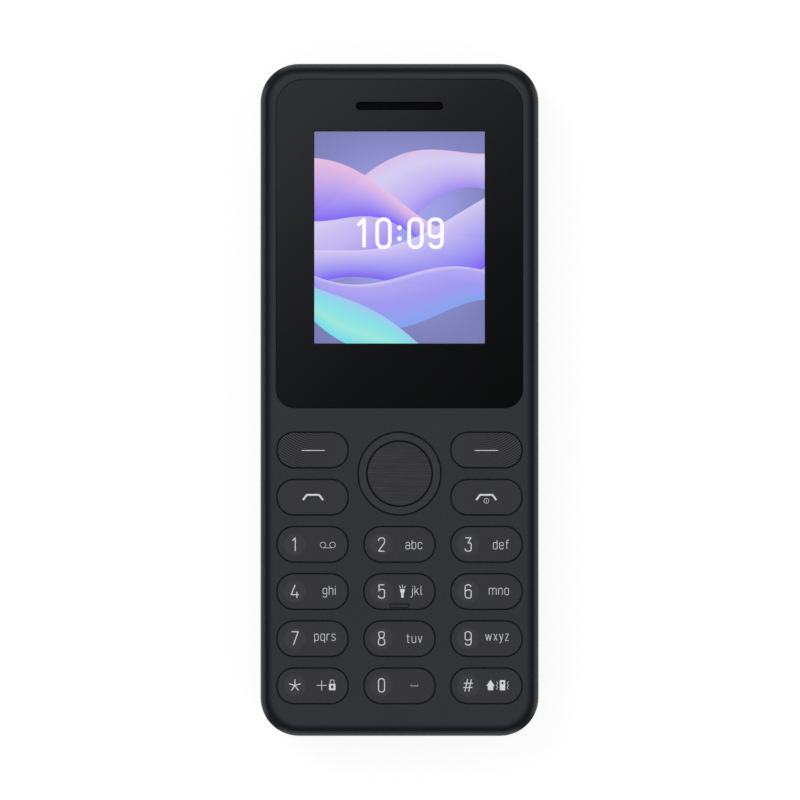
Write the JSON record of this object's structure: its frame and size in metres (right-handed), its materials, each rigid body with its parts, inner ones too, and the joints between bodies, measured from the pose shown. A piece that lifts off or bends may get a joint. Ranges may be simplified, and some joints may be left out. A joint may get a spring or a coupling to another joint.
{
  "type": "feature phone",
  "caption": "Candybar feature phone with a small screen, pill-shaped number keys, a round navigation pad, a lift-off rear cover and a removable battery.",
  "frame": {"origin": "under the middle of the back, at the bottom centre of the bounding box", "axes": "the phone lies on its back with the screen and keys facing +Z; +Y runs from the foot to the earpiece end; +X is to the right of someone who looks at the screen with the earpiece end up; the rear cover comes off along -Z, so the phone is lifted or turned over for it"},
  "size_m": [0.0456, 0.1102, 0.0144],
  "materials": {
    "housing": "fine satin grain, graphite",
    "cover": "fine satin grain, graphite",
    "keys": "satin with pale printed legends",
    "nav_ring": "satin",
    "nav_centre": "satin with fine cross ribs",
    "lens": "gloss, black print behind with a clear window",
    "display": "lit picture under glass",
    "white_plastic": "moulded white",
    "mesh": "woven black acoustic mesh",
    "foam": "black foam tape",
    "silicone": "translucent silicone",
    "inner_plastic": "moulded black",
    "chassis": "fine moulded grain",
    "board": "green solder mask over glass laminate",
    "flex": "copper track in amber film",
    "steel": "stamped, nickel plated",
    "screw": "black zinc",
    "brass": "gold plated can",
    "battery": "can in a printed film, bare of text",
    "camera": "black barrel with a coated glass eye",
    "torch": "clear emitter over yellow phosphor",
    "pane": "dark tinted, gloss"
  },
  "bodies": {
    "body": {"antenna_flex": "flex", "backlight_unit": "white_plastic", "baseband_shield": "steel", "battery_contacts": "inner_plastic", "camera_module": "camera", "display_foam": "foam", "display_lens": "lens", "earpiece_mesh": "mesh", "earpiece_receiver": "inner_plastic", "front_housing": "housing", "headphone_socket": "inner_plastic", "housing_screws": "screw", "keymat": "silicone", "lcd_cell": "display", "lcd_flex": "flex", "lens_adhesive": "foam", "loudspeaker": "inner_plastic", "loudspeaker_mesh": "mesh", "main_board": "board", "memory_card_reader": "steel", "microphone": "brass", "radio_shield": "steel", "rear_housing": "chassis", "sim_readers": "steel", "snap_domes": "steel", "torch_led": "torch", "usb_socket": "steel", "vibration_motor": "steel"},
    "key_soft_left": {"key_soft_left": "keys"},
    "key_soft_right": {"key_soft_right": "keys"},
    "key_call": {"key_call": "keys"},
    "key_end": {"key_end": "keys"},
    "key_1": {"key_1": "keys"},
    "key_2": {"key_2": "keys"},
    "key_3": {"key_3": "keys"},
    "key_4": {"key_4": "keys"},
    "key_5": {"key_5": "keys"},
    "key_6": {"key_6": "keys"},
    "key_7": {"key_7": "keys"},
    "key_8": {"key_8": "keys"},
    "key_9": {"key_9": "keys"},
    "key_star": {"key_star": "keys"},
    "key_0": {"key_0": "keys"},
    "key_hash": {"key_hash": "keys"},
    "nav_rocker": {"nav_rocker": "inner_plastic"},
    "nav_ring": {"nav_ring": "nav_ring"},
    "nav_centre": {"nav_centre": "nav_centre"},
    "battery": {"battery": "battery"},
    "cover": {"rear_cover": "cover", "camera_window": "pane"}
  },
  "joints": [
    {"name": "key_soft_left_press", "type": "slide", "parent": "body", "child": "key_soft_left", "axis": [0, 0, -1], "range_m": [0, 0.00025], "stiffness_N_per_m": 4000},
    {"name": "key_soft_right_press", "type": "slide", "parent": "body", "child": "key_soft_right", "axis": [0, 0, -1], "range_m": [0, 0.00025], "stiffness_N_per_m": 4000},
    {"name": "key_call_press", "type": "slide", "parent": "body", "child": "key_call", "axis": [0, 0, -1], "range_m": [0, 0.00025], "stiffness_N_per_m": 4000},
    {"name": "key_end_press", "type": "slide", "parent": "body", "child": "key_end", "axis": [0, 0, -1], "range_m": [0, 0.00025], "stiffness_N_per_m": 4000},
    {"name": "key_1_press", "type": "slide", "parent": "body", "child": "key_1", "axis": [0, 0, -1], "range_m": [0, 0.00025], "stiffness_N_per_m": 4000},
    {"name": "key_2_press", "type": "slide", "parent": "body", "child": "key_2", "axis": [0, 0, -1], "range_m": [0, 0.00025], "stiffness_N_per_m": 4000},
    {"name": "key_3_press", "type": "slide", "parent": "body", "child": "key_3", "axis": [0, 0, -1], "range_m": [0, 0.00025], "stiffness_N_per_m": 4000},
    {"name": "key_4_press", "type": "slide", "parent": "body", "child": "key_4", "axis": [0, 0, -1], "range_m": [0, 0.00025], "stiffness_N_per_m": 4000},
    {"name": "key_5_press", "type": "slide", "parent": "body", "child": "key_5", "axis": [0, 0, -1], "range_m": [0, 0.00025], "stiffness_N_per_m": 4000},
    {"name": "key_6_press", "type": "slide", "parent": "body", "child": "key_6", "axis": [0, 0, -1], "range_m": [0, 0.00025], "stiffness_N_per_m": 4000},
    {"name": "key_7_press", "type": "slide", "parent": "body", "child": "key_7", "axis": [0, 0, -1], "range_m": [0, 0.00025], "stiffness_N_per_m": 4000},
    {"name": "key_8_press", "type": "slide", "parent": "body", "child": "key_8", "axis": [0, 0, -1], "range_m": [0, 0.00025], "stiffness_N_per_m": 4000},
    {"name": "key_9_press", "type": "slide", "parent": "body", "child": "key_9", "axis": [0, 0, -1], "range_m": [0, 0.00025], "stiffness_N_per_m": 4000},
    {"name": "key_star_press", "type": "slide", "parent": "body", "child": "key_star", "axis": [0, 0, -1], "range_m": [0, 0.00025], "stiffness_N_per_m": 4000},
    {"name": "key_0_press", "type": "slide", "parent": "body", "child": "key_0", "axis": [0, 0, -1], "range_m": [0, 0.00025], "stiffness_N_per_m": 4000},
    {"name": "key_hash_press", "type": "slide", "parent": "body", "child": "key_hash", "axis": [0, 0, -1], "range_m": [0, 0.00025], "stiffness_N_per_m": 4000},
    {"name": "nav_centre_press", "type": "slide", "parent": "body", "child": "nav_centre", "axis": [0, 0, -1], "range_m": [0, 0.00025], "stiffness_N_per_m": 4000},
    {"name": "nav_up_down", "type": "hinge", "parent": "body", "child": "nav_rocker", "pos_m": [0, -0.01208, 0.01117], "axis": [1, 0, 0], "range_deg": [-1.8, 1.8], "stiffness_Nm_per_rad": 0.2},
    {"name": "nav_left_right", "type": "hinge", "parent": "nav_rocker", "child": "nav_ring", "pos_m": [0, -0.01208, 0.01202], "axis": [0, 1, 0], "range_deg": [-1.8, 1.8], "stiffness_Nm_per_rad": 0.2},
    {"name": "cover_off", "type": "slide", "parent": "body", "child": "cover", "axis": [0, 0, -1], "range_m": [0, 0.028]},
    {"name": "battery_out", "type": "slide", "parent": "body", "child": "battery", "axis": [0, 0, -1], "range_m": [0, 0.0127]}
  ],
  "couplings": [
    {"joint": "battery_out", "follows": "cover_off", "ratio": 0.45}
  ]
}
